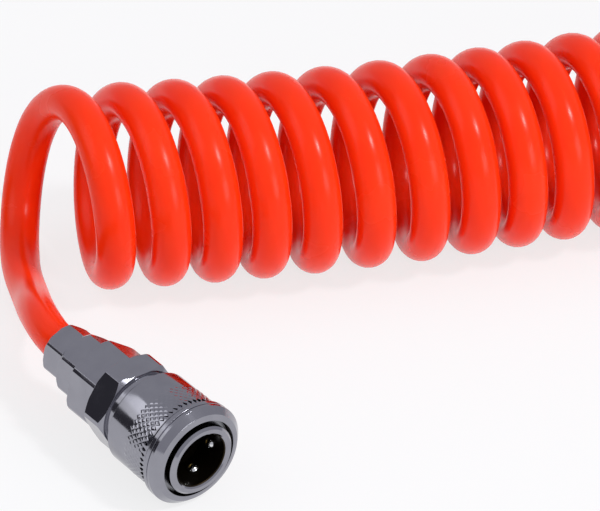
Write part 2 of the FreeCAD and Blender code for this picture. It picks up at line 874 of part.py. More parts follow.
pieces = [coil, tail_near, tail_far, nut_near, nut_far, stem, gasket, socket, packing, sleeve, sleeve_spring,
          ring, valve, seal, valve_spring, plug] + balls
doc.recompute()
for item in doc.Objects:
    if "Invalid" in item.State or "Error" in item.State:
        raise ValueError(f"{item.Label} failed: {item.State}")
box = FreeCAD.BoundBox()
for piece in pieces:
    if piece.Shape.isNull() or not piece.Shape.isValid():
        raise ValueError(f"{piece.Label} is not a valid shape")
    box.add(piece.Shape.optimalBoundingBox(False, False))
shift = FreeCAD.Placement(V(-box.Center.x, -box.Center.y, -box.ZMin), FreeCAD.Rotation())
for piece in pieces:
    piece.Placement = shift.multiply(piece.Placement)
doc.recompute()
print("origin shift", [round(c, 3) for c in shift.Base], "size", round(box.XLength, 1), round(box.YLength, 1))
os.makedirs("parts", exist_ok=True)
for piece in pieces:
    piece.Shape.exportStep(f"parts/{piece.Label}.step")
print(len(pieces), "pieces")
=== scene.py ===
# %% [markdown]
# # A coiled air hose with a push-to-connect socket
#
# A wound polyurethane hose lies on its side. One end carries a plated socket: a clamp nut, a stem, a
# hexagonal body and a release sleeve over locking balls. The other end carries the matching plug. The
# rigid pieces come from the CAD frame and get their finish here. The hose is drawn again as one smooth
# tube, because the CAD solid has flat sides. The lesson goes from the camera and the line of the hose to
# the tube, the materials, the small changes to the metal pieces, the knurled grip and the light.

# %% Load the frame
import json
import math

import bmesh
import bpy
from mathutils import Matrix, Vector


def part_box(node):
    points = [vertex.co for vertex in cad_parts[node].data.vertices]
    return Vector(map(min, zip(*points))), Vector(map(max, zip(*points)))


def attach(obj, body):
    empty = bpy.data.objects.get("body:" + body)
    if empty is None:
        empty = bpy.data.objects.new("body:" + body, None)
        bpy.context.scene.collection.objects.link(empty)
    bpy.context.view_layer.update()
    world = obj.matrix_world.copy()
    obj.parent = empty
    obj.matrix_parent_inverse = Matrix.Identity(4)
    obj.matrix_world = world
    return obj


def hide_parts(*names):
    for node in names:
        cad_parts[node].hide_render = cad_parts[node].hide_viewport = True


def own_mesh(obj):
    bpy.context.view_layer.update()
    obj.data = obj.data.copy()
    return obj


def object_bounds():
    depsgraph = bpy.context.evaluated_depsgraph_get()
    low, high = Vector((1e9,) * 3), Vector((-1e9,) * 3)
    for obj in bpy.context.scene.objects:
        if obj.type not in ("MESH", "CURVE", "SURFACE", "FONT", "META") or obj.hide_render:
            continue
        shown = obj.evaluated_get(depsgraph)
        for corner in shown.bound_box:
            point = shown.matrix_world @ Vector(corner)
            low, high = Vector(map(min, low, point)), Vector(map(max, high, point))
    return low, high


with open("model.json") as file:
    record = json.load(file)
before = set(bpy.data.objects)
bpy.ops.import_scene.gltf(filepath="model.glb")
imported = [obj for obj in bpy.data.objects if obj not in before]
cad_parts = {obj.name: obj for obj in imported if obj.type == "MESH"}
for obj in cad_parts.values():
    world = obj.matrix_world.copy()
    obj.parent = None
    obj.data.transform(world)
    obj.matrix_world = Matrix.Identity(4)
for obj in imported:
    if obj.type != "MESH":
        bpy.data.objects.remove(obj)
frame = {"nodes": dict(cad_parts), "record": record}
cad_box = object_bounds()
nodes = frame["nodes"]
MM = 0.001

# %% [markdown]
# ## Two habits of Blender
#
# A new object doesn't show until it is linked to a collection. And what a curve or a modifier makes is
# only a preview: it becomes a plain mesh when the evaluated object is turned into one. Both come up
# again and again here, so each gets a small function.

# %% Helpers for objects
def put(name, data):
    """A new object with this mesh, curve, light or camera, linked to the scene."""
    item = bpy.data.objects.new(name, data)
    bpy.context.collection.objects.link(item)
    return item


def plain_mesh(item):
    """The mesh that an object's curve or modifiers make. The object itself goes."""
    depsgraph = bpy.context.evaluated_depsgraph_get()
    mesh = bpy.data.meshes.new_from_object(item.evaluated_get(depsgraph))
    bpy.data.objects.remove(item)
    return mesh


print("helpers ready")

# %% [markdown]
# ## The frame of each fitting
#
# Each fitting is turned on one axis, so its faces can be given as stations: distances in millimetres from
# the face where the hose goes in. The record's mounts say where that axis lies, and each mount's own
# station is known. The local frame that follows has its Z along the fitting and its X up.

# %% Fitting frames
BORE_MIDDLE, SHANK_MIDDLE = 44.45, 21.95

mounts = {m["name"]: m for m in frame["record"]["mounts"]}


def fitting(mount, station):
    """The local frame of a fitting, from a mount on its axis and the station of that mount."""
    way = Vector(mount["axis"]).normalized()
    up = (Vector((0, 0, 1)) - way * way.z).normalized()
    entry = Vector(mount["pos_m"]) - way * station * MM
    return Matrix.Translation(entry) @ Matrix((up, way.cross(up), way)).transposed().to_4x4()


def on_axis(fitting_frame, station):
    """The point of a fitting's axis at this station."""
    return fitting_frame @ Vector((0, 0, station * MM))


socket_frame = fitting(mounts["socket_bore"], BORE_MIDDLE)
plug_frame = fitting(mounts["plug_shank"], SHANK_MIDDLE)
print("socket entry", socket_frame.translation, "plug entry", plug_frame.translation)

# %% [markdown]
# ## Camera
#
# A long lens from far away keeps the loops the same size from near to far. The camera stands above the
# hose and to the left of it, slightly rolled, and looks at the socket's half of the coil, so the far
# turns run out of the view on the right. Its axes are worked out from its angles, and the lights below
# use them too.

# %% Camera
AZIMUTH, ELEVATION, ROLL = math.radians(19.358), math.radians(32.01), math.radians(3.925)
AIM = Vector((-53.449, -13.953, 14.11)) * MM
DISTANCE, LENS, SENSOR = 1.5877, 450.2, 36

look = Vector((
    math.sin(AZIMUTH) * math.cos(ELEVATION),
    math.cos(AZIMUTH) * math.cos(ELEVATION),
    -math.sin(ELEVATION),
))
level = Vector((math.cos(AZIMUTH), -math.sin(AZIMUTH), 0))
above = level.cross(look)
right = level * math.cos(ROLL) + above * math.sin(ROLL)
top = right.cross(look)

camera = put("camera", bpy.data.cameras.new("camera"))
camera.data.sensor_width = SENSOR
camera.data.lens = LENS
camera.data.clip_start, camera.data.clip_end = 0.1, 20
stand = Matrix((right, top, -look)).transposed().to_4x4()
stand.translation = AIM - look * DISTANCE
camera.matrix_world = stand
bpy.context.scene.camera = camera
bpy.context.scene.view_settings.view_transform = "Standard"
print("camera at", stand.translation)

# %% [markdown]
# ## The line of the hose
#
# The hose is one length from the stem of the socket to the stem of the plug. Its loops follow a rule: a
# steady pitch with a slow sway, a first and a last turn that open up, and an axis that bends gently one
# way and then back. Lengths are in millimetres, and a turn is a number that grows by 1 with each loop.

# %% The rule of the loops
HOSE_WIDTH = 8.0
COIL_RADIUS, PITCH, LOOPS, END_TURN = 18.2, 11.4, 18, 0.52
SWAY, SWAY_LOOPS, OPENING = 0.67, 5.5, 15.6
AXIS_HEIGHT, BEND_MIDDLE, BEND_TURNS_BACK, BEND_RADIUS = 22.336, 61.3, 64.0, 500


def coil_along(turn):
    """How far along the coil's axis this turn is."""
    sway = SWAY * math.sin(2 * math.pi * turn / SWAY_LOOPS)
    opening = max(turn - (LOOPS - 1), 0.0) ** 1.5 - max(-turn, 0.0) ** 1.5
    return PITCH * turn + sway + OPENING * opening


def axis_point(along):
    """The point of the coil's bent axis at this distance along it."""
    from_middle = along - BEND_MIDDLE
    bent = min(from_middle, BEND_TURNS_BACK)
    past = from_middle - bent
    return Vector((along, (bent * bent / 2 + bent * past - past * past / 2) / BEND_RADIUS, AXIS_HEIGHT))


def coil_point(turn, radius=COIL_RADIUS):
    angle = 2 * math.pi * turn
    return axis_point(coil_along(turn)) + Vector((0, -math.sin(angle), math.cos(angle))) * radius


print("coil length", round(coil_along(LOOPS - 1 + END_TURN) - coil_along(-END_TURN), 1))

# %% [markdown]
# A quadratic spline cuts inside its control points, so those of the loops stand a little further out
# than the hose. Past its last turn at each end the hose goes straight on for one hose width.

# %% Control points of the loops
STEPS = 16


def way_out(turn, sign):
    """The way in which the hose leaves the loops at this turn."""
    return (coil_point(turn + 1e-4) - coil_point(turn - 1e-4)).normalized() * sign


near_turn, far_turn = -END_TURN, LOOPS - 1 + END_TURN
span = (far_turn - near_turn) / (STEPS * LOOPS)
outer = COIL_RADIUS / math.cos(math.pi * span)
loops = [coil_point(k * span + near_turn, outer) for k in range(1, STEPS * LOOPS)]
far_way = way_out(far_turn, 1)
near_join = coil_point(near_turn) + way_out(near_turn, -1) * HOSE_WIDTH
far_join = coil_point(far_turn) + far_way * HOSE_WIDTH
print("control points in the loops", len(loops))

# %% [markdown]
# The loops were worked out about their own origin. The box of the CAD coil says where they stand: the
# middle of the loops' own box is put on the middle of that one, and the heights already agree.

# %% The coil's home
SAMPLES = 64

coil_low, coil_high = (Vector(corner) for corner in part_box("hose_coil"))
count = round((far_turn - near_turn) * SAMPLES) + 1
middle_line = [coil_point(k / SAMPLES + near_turn) for k in range(count)] + [near_join, far_join]
lowest = Vector(min(p[i] for p in middle_line) for i in range(3))
highest = Vector(max(p[i] for p in middle_line) for i in range(3))
home = (coil_low + coil_high) / 2 - (lowest + highest) * MM / 2
home.z = 0.0


def at_home(point):
    """A point of the coil, in the frame and in metres."""
    return home + Vector(point) * MM


print("coil home", home)

# %% [markdown]
# ## One spline for the whole hose
#
# A real hose has no corners: it leaves the nut straight, sweeps round and runs into the first turn. One
# NURBS spline gives exactly that. It starts and ends inside the clamp nuts, and the near end is led
# round by three points of its own. A spline's order and end points are set after its points are added,
# because Blender lowers the order of a spline that has too few points for it.

# %% Route
HELD, SOCKET_RUN, PLUG_RUN, FAR_RUN = 4.0, 3.3, 8.0, 6.0
NEAR_ROUTE = [(-17.0, -26.0, 12.2), (-13.4, -10.3, 5.2), (-12.2, 1.4, 3.8)]

controls = [
    on_axis(socket_frame, HELD),
    on_axis(socket_frame, -SOCKET_RUN),
    *[at_home(point) for point in NEAR_ROUTE + loops],
    at_home(far_join),
    at_home(far_join + far_way * FAR_RUN),
    on_axis(plug_frame, -PLUG_RUN),
    on_axis(plug_frame, HELD),
]
curve = bpy.data.curves.new("hose_route", "CURVE")
curve.dimensions = "3D"
spline = curve.splines.new("NURBS")
spline.points.add(len(controls) - 1)
for knot, control in zip(spline.points, controls):
    knot.co = (*control, 1.0)
spline.order_u = 3
spline.use_endpoint_u = True
spline.resolution_u = 4
points = [vertex.co.copy() for vertex in plain_mesh(put("hose_route", curve)).vertices]

along = [0.0]
for a, b in zip(points, points[1:]):
    along.append(along[-1] + (b - a).length)
print("points on the hose", len(points), "length in mm", round(along[-1] / MM))

# %% [markdown]
# ## The tube
#
# Polyurethane hose is wound hot, and winding flattens it a little: across the loop it is thinner than
# along the coil. A curve's bevel can't turn an oval section with the coil, so the tube is a mesh. Each
# ring of points looks away from the coil's axis, and in the free ends the section goes back to a circle.
# Every point also keeps where it would be on a straight round hose, for the pattern of the material.

# %% How far the hose is wound
def nearest(target):
    """The number of the hose point nearest to this one."""
    return min(range(len(points)), key=lambda k: (points[k] - target).length)


near_free = along[nearest(at_home(near_join))]
far_free = along[nearest(at_home(far_join))]


def wound(distance):
    """0 in the free ends and 1 in the loops, changing smoothly over two hose widths."""
    t = min(distance - near_free, far_free - distance) / (2 * HOSE_WIDTH * MM)
    t = min(max(t, 0.0), 1.0)
    return t * t * (3 - 2 * t)


print("free ends in mm", round(near_free / MM), round((along[-1] - far_free) / MM))

# %% Rings of points
SIDES = 24
ROUND, THIN, WIDE = 4.0, 3.8, 4.25

verts, places = [], []
for k, point in enumerate(points):
    way = (points[min(k + 1, len(points) - 1)] - points[max(k - 1, 0)]).normalized()
    share = wound(along[k])
    own = (point - home) / MM
    away = (own - axis_point(own.x)).normalized() * share - Vector((0, 0, 1 - share))
    away = (away - way * away.dot(way)).normalized()
    across = way.cross(away)
    thin, wide = ROUND + (THIN - ROUND) * share, ROUND + (WIDE - ROUND) * share
    for side in range(SIDES):
        angle = 2 * math.pi * side / SIDES
        verts.append(point + (away * thin * math.cos(angle) + across * wide * math.sin(angle)) * MM)
        places.append((ROUND * MM * math.cos(angle), ROUND * MM * math.sin(angle), along[k]))
print("points of the tube", len(verts))

# %% Skin of the tube
faces = []
for ring in range(0, len(verts) - SIDES, SIDES):
    for side in range(SIDES):
        beside = (side + 1) % SIDES
        faces.append((ring + side, ring + beside, ring + SIDES + beside, ring + SIDES + side))
faces.append(tuple(reversed(range(SIDES))))
faces.append(tuple(range(len(verts) - SIDES, len(verts))))

tube = bpy.data.meshes.new("air_hose")
tube.from_pydata(verts, [], faces)
tube.shade_smooth()
hose_space = tube.attributes.new("hose_space", "FLOAT_VECTOR", "POINT")
for item, value in zip(hose_space.data, places):
    item.vector = value
hose = put("air_hose", tube)
print("tube faces", len(tube.polygons))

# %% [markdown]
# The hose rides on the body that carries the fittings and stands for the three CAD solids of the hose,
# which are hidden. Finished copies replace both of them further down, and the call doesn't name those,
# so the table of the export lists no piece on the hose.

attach(hose, "hose")
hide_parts("hose_coil", "hose_tail_socket", "hose_tail_plug")
print("the hose leaves the socket at", points[0])

# %% [markdown]
# ## Colours and nodes
#
# Colours are written as sRGB hex values, as a paint chart gives them, and turned to the linear values
# that Blender mixes. One function adds a node, sets its own properties and fills or links its inputs.

# %% Helpers for materials
def colour(code):
    """An sRGB hex colour as linear red, green, blue and alpha."""
    channels = [int(code[k:k + 2], 16) / 255 for k in (1, 3, 5)]
    return tuple(c / 12.92 if c <= 0.04045 else ((c + 0.055) / 1.055) ** 2.4 for c in channels) + (1.0,)


def add(tree, kind, inputs=None, **settings):
    """Add a node. Inputs go by name or number, and take a value or another node's socket."""
    node = tree.nodes.new(kind)
    for name, value in settings.items():
        setattr(node, name, value)
    for name, value in (inputs or {}).items():
        if isinstance(value, bpy.types.NodeSocket):
            tree.links.new(value, node.inputs[name])
        else:
            node.inputs[name].default_value = value
    return node


def surface(name, **sockets):
    """A new material, its node tree and its shader, with these values on the shader's own sockets."""
    material = bpy.data.materials.new(name)
    material.use_nodes = True
    shader = material.node_tree.nodes["Principled BSDF"]
    for socket, value in sockets.items():
        shader.inputs[socket.replace("_", " ")].default_value = value
    return material, material.node_tree, shader


print("orange-red", [round(c, 3) for c in colour("#fb2f06")])

# %% [markdown]
# ## Polyurethane
#
# Clear polyurethane with an orange-red pigment is pressed out of a polished die. It is glossy but a
# little waxy, so its spots of light are soft, and light goes a short way into it, which keeps the shaded
# side warm. The die leaves faint lines along the hose, and winding leaves a slow change of gloss. The
# real lines are a few hundredths of a millimetre apart; here they are 0.7 mm apart, so that they show.

# %% Polyurethane material
DIE_LINE, GLOSS_PATCH = 0.0007, 0.012

polyurethane, tree, shader = surface(
    "extruded_polyurethane", IOR=1.5, Roughness=0.25, Specular_IOR_Level=0.17, Subsurface_Weight=0.25,
    Subsurface_Scale=0.002, Subsurface_Radius=(1.0, 0.25, 0.1))
place = add(tree, "ShaderNodeAttribute", attribute_name="hose_space")
lined = add(tree, "ShaderNodeMapping", {"Vector": place.outputs["Vector"], "Scale": (1, 1, 0.02)})
lines = add(tree, "ShaderNodeTexNoise", {
    "Vector": lined.outputs[0], "Scale": 1 / DIE_LINE, "Detail": 2.0})
patches = add(tree, "ShaderNodeTexNoise", {
    "Vector": place.outputs["Vector"], "Scale": 1 / GLOSS_PATCH, "Detail": 3.0})
tint = add(tree, "ShaderNodeMix", {
    "Factor": patches.outputs["Fac"], 6: colour("#fb2f06"), 7: colour("#ff3b10")}, data_type="RGBA")
gloss = add(tree, "ShaderNodeMapRange", {
    "Value": patches.outputs["Fac"], "From Min": 0.3, "From Max": 0.7, "To Min": 0.21, "To Max": 0.29})
raised = add(tree, "ShaderNodeBump", {
    "Height": lines.outputs["Fac"], "Strength": 0.12, "Distance": 0.00003})
tree.links.new(tint.outputs[2], shader.inputs["Base Color"])
tree.links.new(gloss.outputs[0], shader.inputs["Roughness"])
tree.links.new(raised.outputs[0], shader.inputs["Normal"])
hose.data.materials.append(polyurethane)
print("hose material", polyurethane.name)

# %% [markdown]
# ## Nickel-chrome plate
#
# The fittings are turned steel with a bright nickel-chrome plate. Chromium is a grey metal with a cool
# tinge, so it shows hardly any colour of its own and looks like what it mirrors. The plate is thin and
# follows the fine turning marks below it, and handling leaves a slight haze. Hardly any plate gets into
# the bores, where the oiled steel is darker, and near the axis it is painted nearly black as bore shade.
# The turning marks are 0.05 mm apart on the real part and 0.3 mm apart here, so that they show.

# %% Plated steel material
TURNING_MARK, HAZE_PATCH = 0.0003, 0.0045


def plate(name, fitting_frame, bore, bore_start, bore_end):
    """Plated steel. Nearer the axis than bore, between these stations, it is oiled steel and painted
    shade.
    """
    material, tree, shader = surface(name, Metallic=1.0)
    place = add(tree, "ShaderNodeTexCoord")
    local = add(tree, "ShaderNodeMapping", {
        "Vector": place.outputs["Object"], "Location": fitting_frame.translation,
        "Rotation": fitting_frame.to_euler()}, vector_type="TEXTURE")
    axes = add(tree, "ShaderNodeSeparateXYZ", {0: local.outputs[0]})
    flat = add(tree, "ShaderNodeCombineXYZ", {0: axes.outputs[0], 1: axes.outputs[1]})
    radius = add(tree, "ShaderNodeVectorMath", {0: flat.outputs[0]}, operation="LENGTH")
    # The mask of the bore, where the colour is painted shade over oiled steel.
    near = add(tree, "ShaderNodeMath", {0: radius.outputs["Value"], 1: bore * MM}, operation="LESS_THAN")
    before = add(tree, "ShaderNodeMath", {0: axes.outputs[2], 1: bore_end * MM}, operation="LESS_THAN")
    past = add(tree, "ShaderNodeMath", {0: axes.outputs[2], 1: bore_start * MM}, operation="GREATER_THAN")
    inside = add(tree, "ShaderNodeMath", {0: near.outputs[0], 1: before.outputs[0]}, operation="MULTIPLY")
    inside = add(tree, "ShaderNodeMath", {0: inside.outputs[0], 1: past.outputs[0]}, operation="MULTIPLY")
    haze = add(tree, "ShaderNodeTexNoise", {
        "Vector": local.outputs[0], "Scale": 1 / HAZE_PATCH, "Detail": 5.0})
    turned = add(tree, "ShaderNodeMapping", {"Vector": local.outputs[0], "Scale": (0.05, 0.05, 1)})
    marks = add(tree, "ShaderNodeTexNoise", {
        "Vector": turned.outputs[0], "Scale": 1 / TURNING_MARK, "Detail": 1.0})
    worn = add(tree, "ShaderNodeMix", {
        "Factor": haze.outputs["Fac"], 6: colour("#9c9ca4"), 7: colour("#8a8a93")}, data_type="RGBA")
    # In the bore the colour goes nearly black: painted shade, over the oiled steel's own darker tone.
    tint = add(tree, "ShaderNodeMix", {
        "Factor": inside.outputs[0], 6: worn.outputs[2], 7: colour("#2b2419")}, data_type="RGBA")
    polish = add(tree, "ShaderNodeMapRange", {
        "Value": haze.outputs["Fac"], "From Min": 0.35, "From Max": 0.7, "To Min": 0.07, "To Max": 0.19})
    dull = add(tree, "ShaderNodeMix", {0: inside.outputs[0], 2: polish.outputs[0], 3: 0.42})
    relief = add(tree, "ShaderNodeBump", {
        "Height": marks.outputs["Fac"], "Strength": 0.12, "Distance": 0.00002})
    tree.links.new(tint.outputs[2], shader.inputs["Base Color"])
    tree.links.new(dull.outputs[0], shader.inputs["Roughness"])
    tree.links.new(relief.outputs[0], shader.inputs["Normal"])
    return material


# The bore colour: oiled steel, painted nearly black as the shade of the bores.
print("oiled steel", [round(c, 3) for c in colour("#2b2419")])

# %% [markdown]
# The socket's body, its sleeve and the plug have bores of different sizes, so each gets its own plated
# material. The painted bore shade ends just behind the mouth, where the plate still reaches.

# %% Plated materials
SOCKET_BORE, HEX_END, MOUTH = 6.7, 26.0, 46.6
SLEEVE_BORE, SLEEVE_REAR, SLEEVE_FRONT = 9.0, 28.5, 45.5
PLUG_BORE, PLUG_HEX_FACE, PLUG_TIP = 2.9, 20.0, 33.1

socket_plate = plate(
    "chrome_plated_socket_steel", socket_frame, SOCKET_BORE, HEX_END, MOUTH - 0.3)
sleeve_plate = plate(
    "chrome_plated_sleeve_steel", socket_frame, SLEEVE_BORE, SLEEVE_REAR + 0.3, SLEEVE_FRONT - 0.2)
plug_plate = plate(
    "chrome_plated_plug_steel", plug_frame, PLUG_BORE, PLUG_HEX_FACE, PLUG_TIP - 0.2)
print("plated materials", [m.name for m in (socket_plate, sleeve_plate, plug_plate)])

# %% [markdown]
# ## The small parts
#
# The springs and the snap ring are drawn wire, grey and half bright. The locking balls are ground and
# polished bearing steel. The valve is turned brass, dull from oil, and the seals are black nitrile
# rubber with the faint bloom that moulded rubber has. What they share is that colour and gloss change
# together from place to place, so one function makes them all, and each has its own size of patch.

# %% Materials of the small parts
def mottled(name, patch, low, high, rough_low, rough_high, bump, **sockets):
    """A finish that goes from a low to a high colour and roughness, in patches of this size in metres."""
    material, tree, shader = surface(name, **sockets)
    place = add(tree, "ShaderNodeTexCoord")
    noise = add(tree, "ShaderNodeTexNoise", {
        "Vector": place.outputs["Object"], "Scale": 1 / patch, "Detail": 4.0})
    tint = add(tree, "ShaderNodeMix", {
        "Factor": noise.outputs["Fac"], 6: colour(low), 7: colour(high)}, data_type="RGBA")
    gloss = add(tree, "ShaderNodeMapRange", {
        "Value": noise.outputs["Fac"], "From Min": 0.3, "From Max": 0.7,
        "To Min": rough_low, "To Max": rough_high})
    relief = add(tree, "ShaderNodeBump", {
        "Height": noise.outputs["Fac"], "Strength": 0.3, "Distance": bump})
    tree.links.new(tint.outputs[2], shader.inputs["Base Color"])
    tree.links.new(gloss.outputs[0], shader.inputs["Roughness"])
    tree.links.new(relief.outputs[0], shader.inputs["Normal"])
    return material


spring_wire = mottled(
    "drawn_spring_steel", 0.0006, "#77787c", "#94959a", 0.25, 0.4, 0.00001, Metallic=1.0)
bearing_steel = mottled(
    "polished_bearing_steel", 0.002, "#c9cacd", "#e2e3e5", 0.04, 0.1, 0.000002, Metallic=1.0)
turned_brass = mottled(
    "oiled_turned_brass", 0.0015, "#7d6533", "#a58a4c", 0.22, 0.4, 0.000005, Metallic=1.0)
nitrile = mottled(
    "moulded_nitrile_rubber", 0.0012, "#131313", "#232323", 0.45, 0.62, 0.00001, IOR=1.52)
print("small materials", [m.name for m in (spring_wire, bearing_steel, turned_brass, nitrile)])

# %% Dress the small parts
BALLS = 6


def dress(node, material):
    """Give a piece this material and no other."""
    node.data.materials.clear()
    node.data.materials.append(material)


finishes = {
    "sleeve_spring": spring_wire, "valve_spring": spring_wire, "snap_ring": spring_wire,
    "valve_poppet": turned_brass, "body_gasket": nitrile, "plug_packing": nitrile, "valve_seal": nitrile,
}
finishes.update({f"locking_ball_{number + 1}": bearing_steel for number in range(BALLS)})
for name, material in finishes.items():
    dress(nodes[name], material)
print("small parts dressed", len(finishes))

# %% [markdown]
# ## Smooth springs
#
# One spring lies between the body and the sleeve, the other behind the valve. One end of each stays and
# the other goes with the moving piece. A CAD mesh is loose triangles, so a copy of each spring has its
# points merged first, and the wire can be shaded smooth.

# %% Merge a CAD mesh
SAME_POINT = 1e-6


def merged(mesh):
    """An open bmesh of a CAD node's loose triangles, with the points that they share made one."""
    shell = bmesh.new()
    shell.from_mesh(mesh)
    bmesh.ops.remove_doubles(shell, verts=shell.verts, dist=SAME_POINT)
    return shell


print("points nearer than", SAME_POINT, "m are one")


def shortening(name):
    """A smooth copy of a CAD spring, in place of the CAD node."""
    mesh = nodes[name].data.copy()
    wire = merged(mesh)
    wire.to_mesh(mesh)
    wire.free()
    mesh.shade_smooth()
    piece = put(f"{name}_wire", mesh)
    dress(piece, spring_wire)
    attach(piece, "hose")
    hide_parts(name)
    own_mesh(piece)
    print(piece.name, "faces", len(mesh.polygons))


shortening("sleeve_spring")
shortening("valve_spring")

# %% [markdown]
# ## Turned pieces with broken edges
#
# A turned and milled piece has no razor edges: the tool and the plating leave them slightly round, and
# those thin lines catch the light. A CAD mesh is loose triangles with sharp edges. So each large piece
# that shows is copied, its points are merged and its flat faces joined again, and its sharp edges are
# marked. The bores keep their CAD mesh, because their small holes and grooves would close up.

# %% Mark the edges to break
SHARP, FLAT = math.radians(24), math.radians(0.4)


def marked(name, fitting_frame, bore):
    """A copy of a CAD mesh with a bevel weight on each sharp edge that lies outside this radius."""
    to_fitting = fitting_frame.inverted()

    def outside(vertex):
        return Vector((to_fitting @ vertex.co)[:2]).length > bore * MM

    mesh = nodes[name].data.copy()
    shell = merged(mesh)
    edges = [e for e in shell.edges if all(outside(v) for v in e.verts)]
    verts = [v for v in shell.verts if all(outside(e.other_vert(v)) for e in v.link_edges)]
    bmesh.ops.dissolve_limit(shell, angle_limit=FLAT, verts=verts, edges=edges)
    weight = shell.edges.layers.float.new("bevel_weight_edge")
    for edge in shell.edges:
        paired = len(edge.link_faces) == 2
        if paired and all(outside(v) for v in edge.verts):
            edge[weight] = float(edge.calc_face_angle() > SHARP)
        edge.smooth = paired and edge.calc_face_angle() < SHARP
    shell.to_mesh(mesh)
    shell.free()
    for face in mesh.polygons:
        face.use_smooth = True
    return mesh


print("edges sharper than", round(math.degrees(SHARP)), "degrees are broken")

# %% [markdown]
# A Bevel modifier then rounds the marked edges by a tenth of a millimetre or so, and hardened normals
# keep the flats flat. The finished copy replaces the CAD node and rides on the same body. Each call's
# last value is the radius inside which the CAD mesh stays as it is.

# %% Break the edges of the fittings
EDGE_BREAK = 0.12


def finished(name, body, material, fitting_frame, bore):
    """A piece with rounded outer edges, in place of this CAD node."""
    rough = put(f"{name}_rough", marked(name, fitting_frame, bore))
    breaking = rough.modifiers.new("edge_break", "BEVEL")
    breaking.width = EDGE_BREAK * MM
    breaking.segments = 2
    breaking.limit_method = "WEIGHT"
    breaking.harden_normals = True
    piece = put(f"{name}_finished", plain_mesh(rough))
    dress(piece, material)
    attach(piece, body)
    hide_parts(name)
    print(piece.name, "faces", len(piece.data.polygons))


NUT_INSIDE, STEM_INSIDE, BODY_INSIDE, PLUG_INSIDE = 4.6, 6.0, 8.1, 4.0

finished("clamp_nut_socket", "hose", socket_plate, socket_frame, NUT_INSIDE)
finished("hose_stem", "hose", socket_plate, socket_frame, STEM_INSIDE)
finished("socket_body", "hose", socket_plate, socket_frame, BODY_INSIDE)
finished("release_sleeve", "sleeve", sleeve_plate, socket_frame, SLEEVE_BORE)
finished("clamp_nut_plug", "hose", plug_plate, plug_frame, NUT_INSIDE)
finished("plug_body", "hose", plug_plate, plug_frame, PLUG_INSIDE)

# %% [markdown]
# ## The knurled grip
#
# Fingers pull the sleeve back, so its front half has a band of diamond knurling, rolled in before the
# plating. Rows of small blunt diamonds repeat round a cylinder, every other row turned by half a
# diamond. That is a rule, so Geometry Nodes place them: the row, the angle and the height of a diamond
# follow from its number alone.

# %% Where each diamond stands
def diamond_places(tree, sizes):
    """How many diamonds there are, each one's place and turn, and the height of a row."""
    number = add(tree, "GeometryNodeInputIndex").outputs[0]
    count = add(tree, "ShaderNodeMath", {0: sizes["Around"], 1: sizes["Rows"]}, operation="MULTIPLY")
    row = add(tree, "ShaderNodeMath", {0: number, 1: sizes["Around"]}, operation="DIVIDE")
    row = add(tree, "ShaderNodeMath", {0: row.outputs[0]}, operation="FLOOR")
    half = add(tree, "ShaderNodeMath", {0: row.outputs[0], 1: 0.5, 2: 0.0}, operation="MULTIPLY_ADD")
    place = add(tree, "ShaderNodeMath", {0: number, 1: half.outputs[0]}, operation="ADD")
    part = add(tree, "ShaderNodeMath", {0: place.outputs[0], 1: sizes["Around"]}, operation="DIVIDE")
    angle = add(tree, "ShaderNodeMath", {0: part.outputs[0], 1: 2 * math.pi}, operation="MULTIPLY")
    east = add(tree, "ShaderNodeMath", {0: angle.outputs[0]}, operation="COSINE")
    north = add(tree, "ShaderNodeMath", {0: angle.outputs[0]}, operation="SINE")
    compass = add(tree, "ShaderNodeCombineXYZ", {0: east.outputs[0], 1: north.outputs[0]})
    out = add(tree, "ShaderNodeVectorMath", {0: compass.outputs[0], "Scale": sizes["Radius"]},
              operation="SCALE")
    step = add(tree, "ShaderNodeMath", {0: sizes["Length"], 1: sizes["Rows"]}, operation="DIVIDE")
    level = add(tree, "ShaderNodeMath", {0: row.outputs[0], 1: 0.5}, operation="ADD")
    level = add(tree, "ShaderNodeMath", {0: level.outputs[0], 1: step.outputs[0], 2: sizes["Start"]},
                operation="MULTIPLY_ADD")
    lift = add(tree, "ShaderNodeCombineXYZ", {2: level.outputs[0]})
    spot = add(tree, "ShaderNodeVectorMath", {0: out.outputs[0], 1: lift.outputs[0]}, operation="ADD")
    spin = add(tree, "ShaderNodeCombineXYZ", {1: math.pi / 2, 2: angle.outputs[0]})
    turn = add(tree, "FunctionNodeEulerToRotation", {0: spin.outputs[0]})
    return count.outputs[0], spot.outputs[0], turn.outputs[0], step.outputs[0]


print("places of the diamonds ready")

# %% [markdown]
# A diamond is a cone with four sides and a flat top. Its corners reach nearly to its neighbours in its
# own row and to the middle of the next rows, so the diamonds of those rows fit in between, and a fine
# groove is left all round each. Copies on points are only instances, so the tree ends by making them
# real and giving them their material.

# %% Knurling tree
DIAMOND_SHARE = 0.94

INPUTS = {
    "Around": "Int", "Rows": "Int", "Radius": "Float", "Start": "Float", "Length": "Float",
    "Height": "Float", "Material": "Material",
}
knurls = bpy.data.node_groups.new("diamond_knurling", "GeometryNodeTree")
knurls.interface.new_socket("Geometry", in_out="OUTPUT", socket_type="NodeSocketGeometry")
for label, kind in INPUTS.items():
    knurls.interface.new_socket(label, in_out="INPUT", socket_type=f"NodeSocket{kind}")

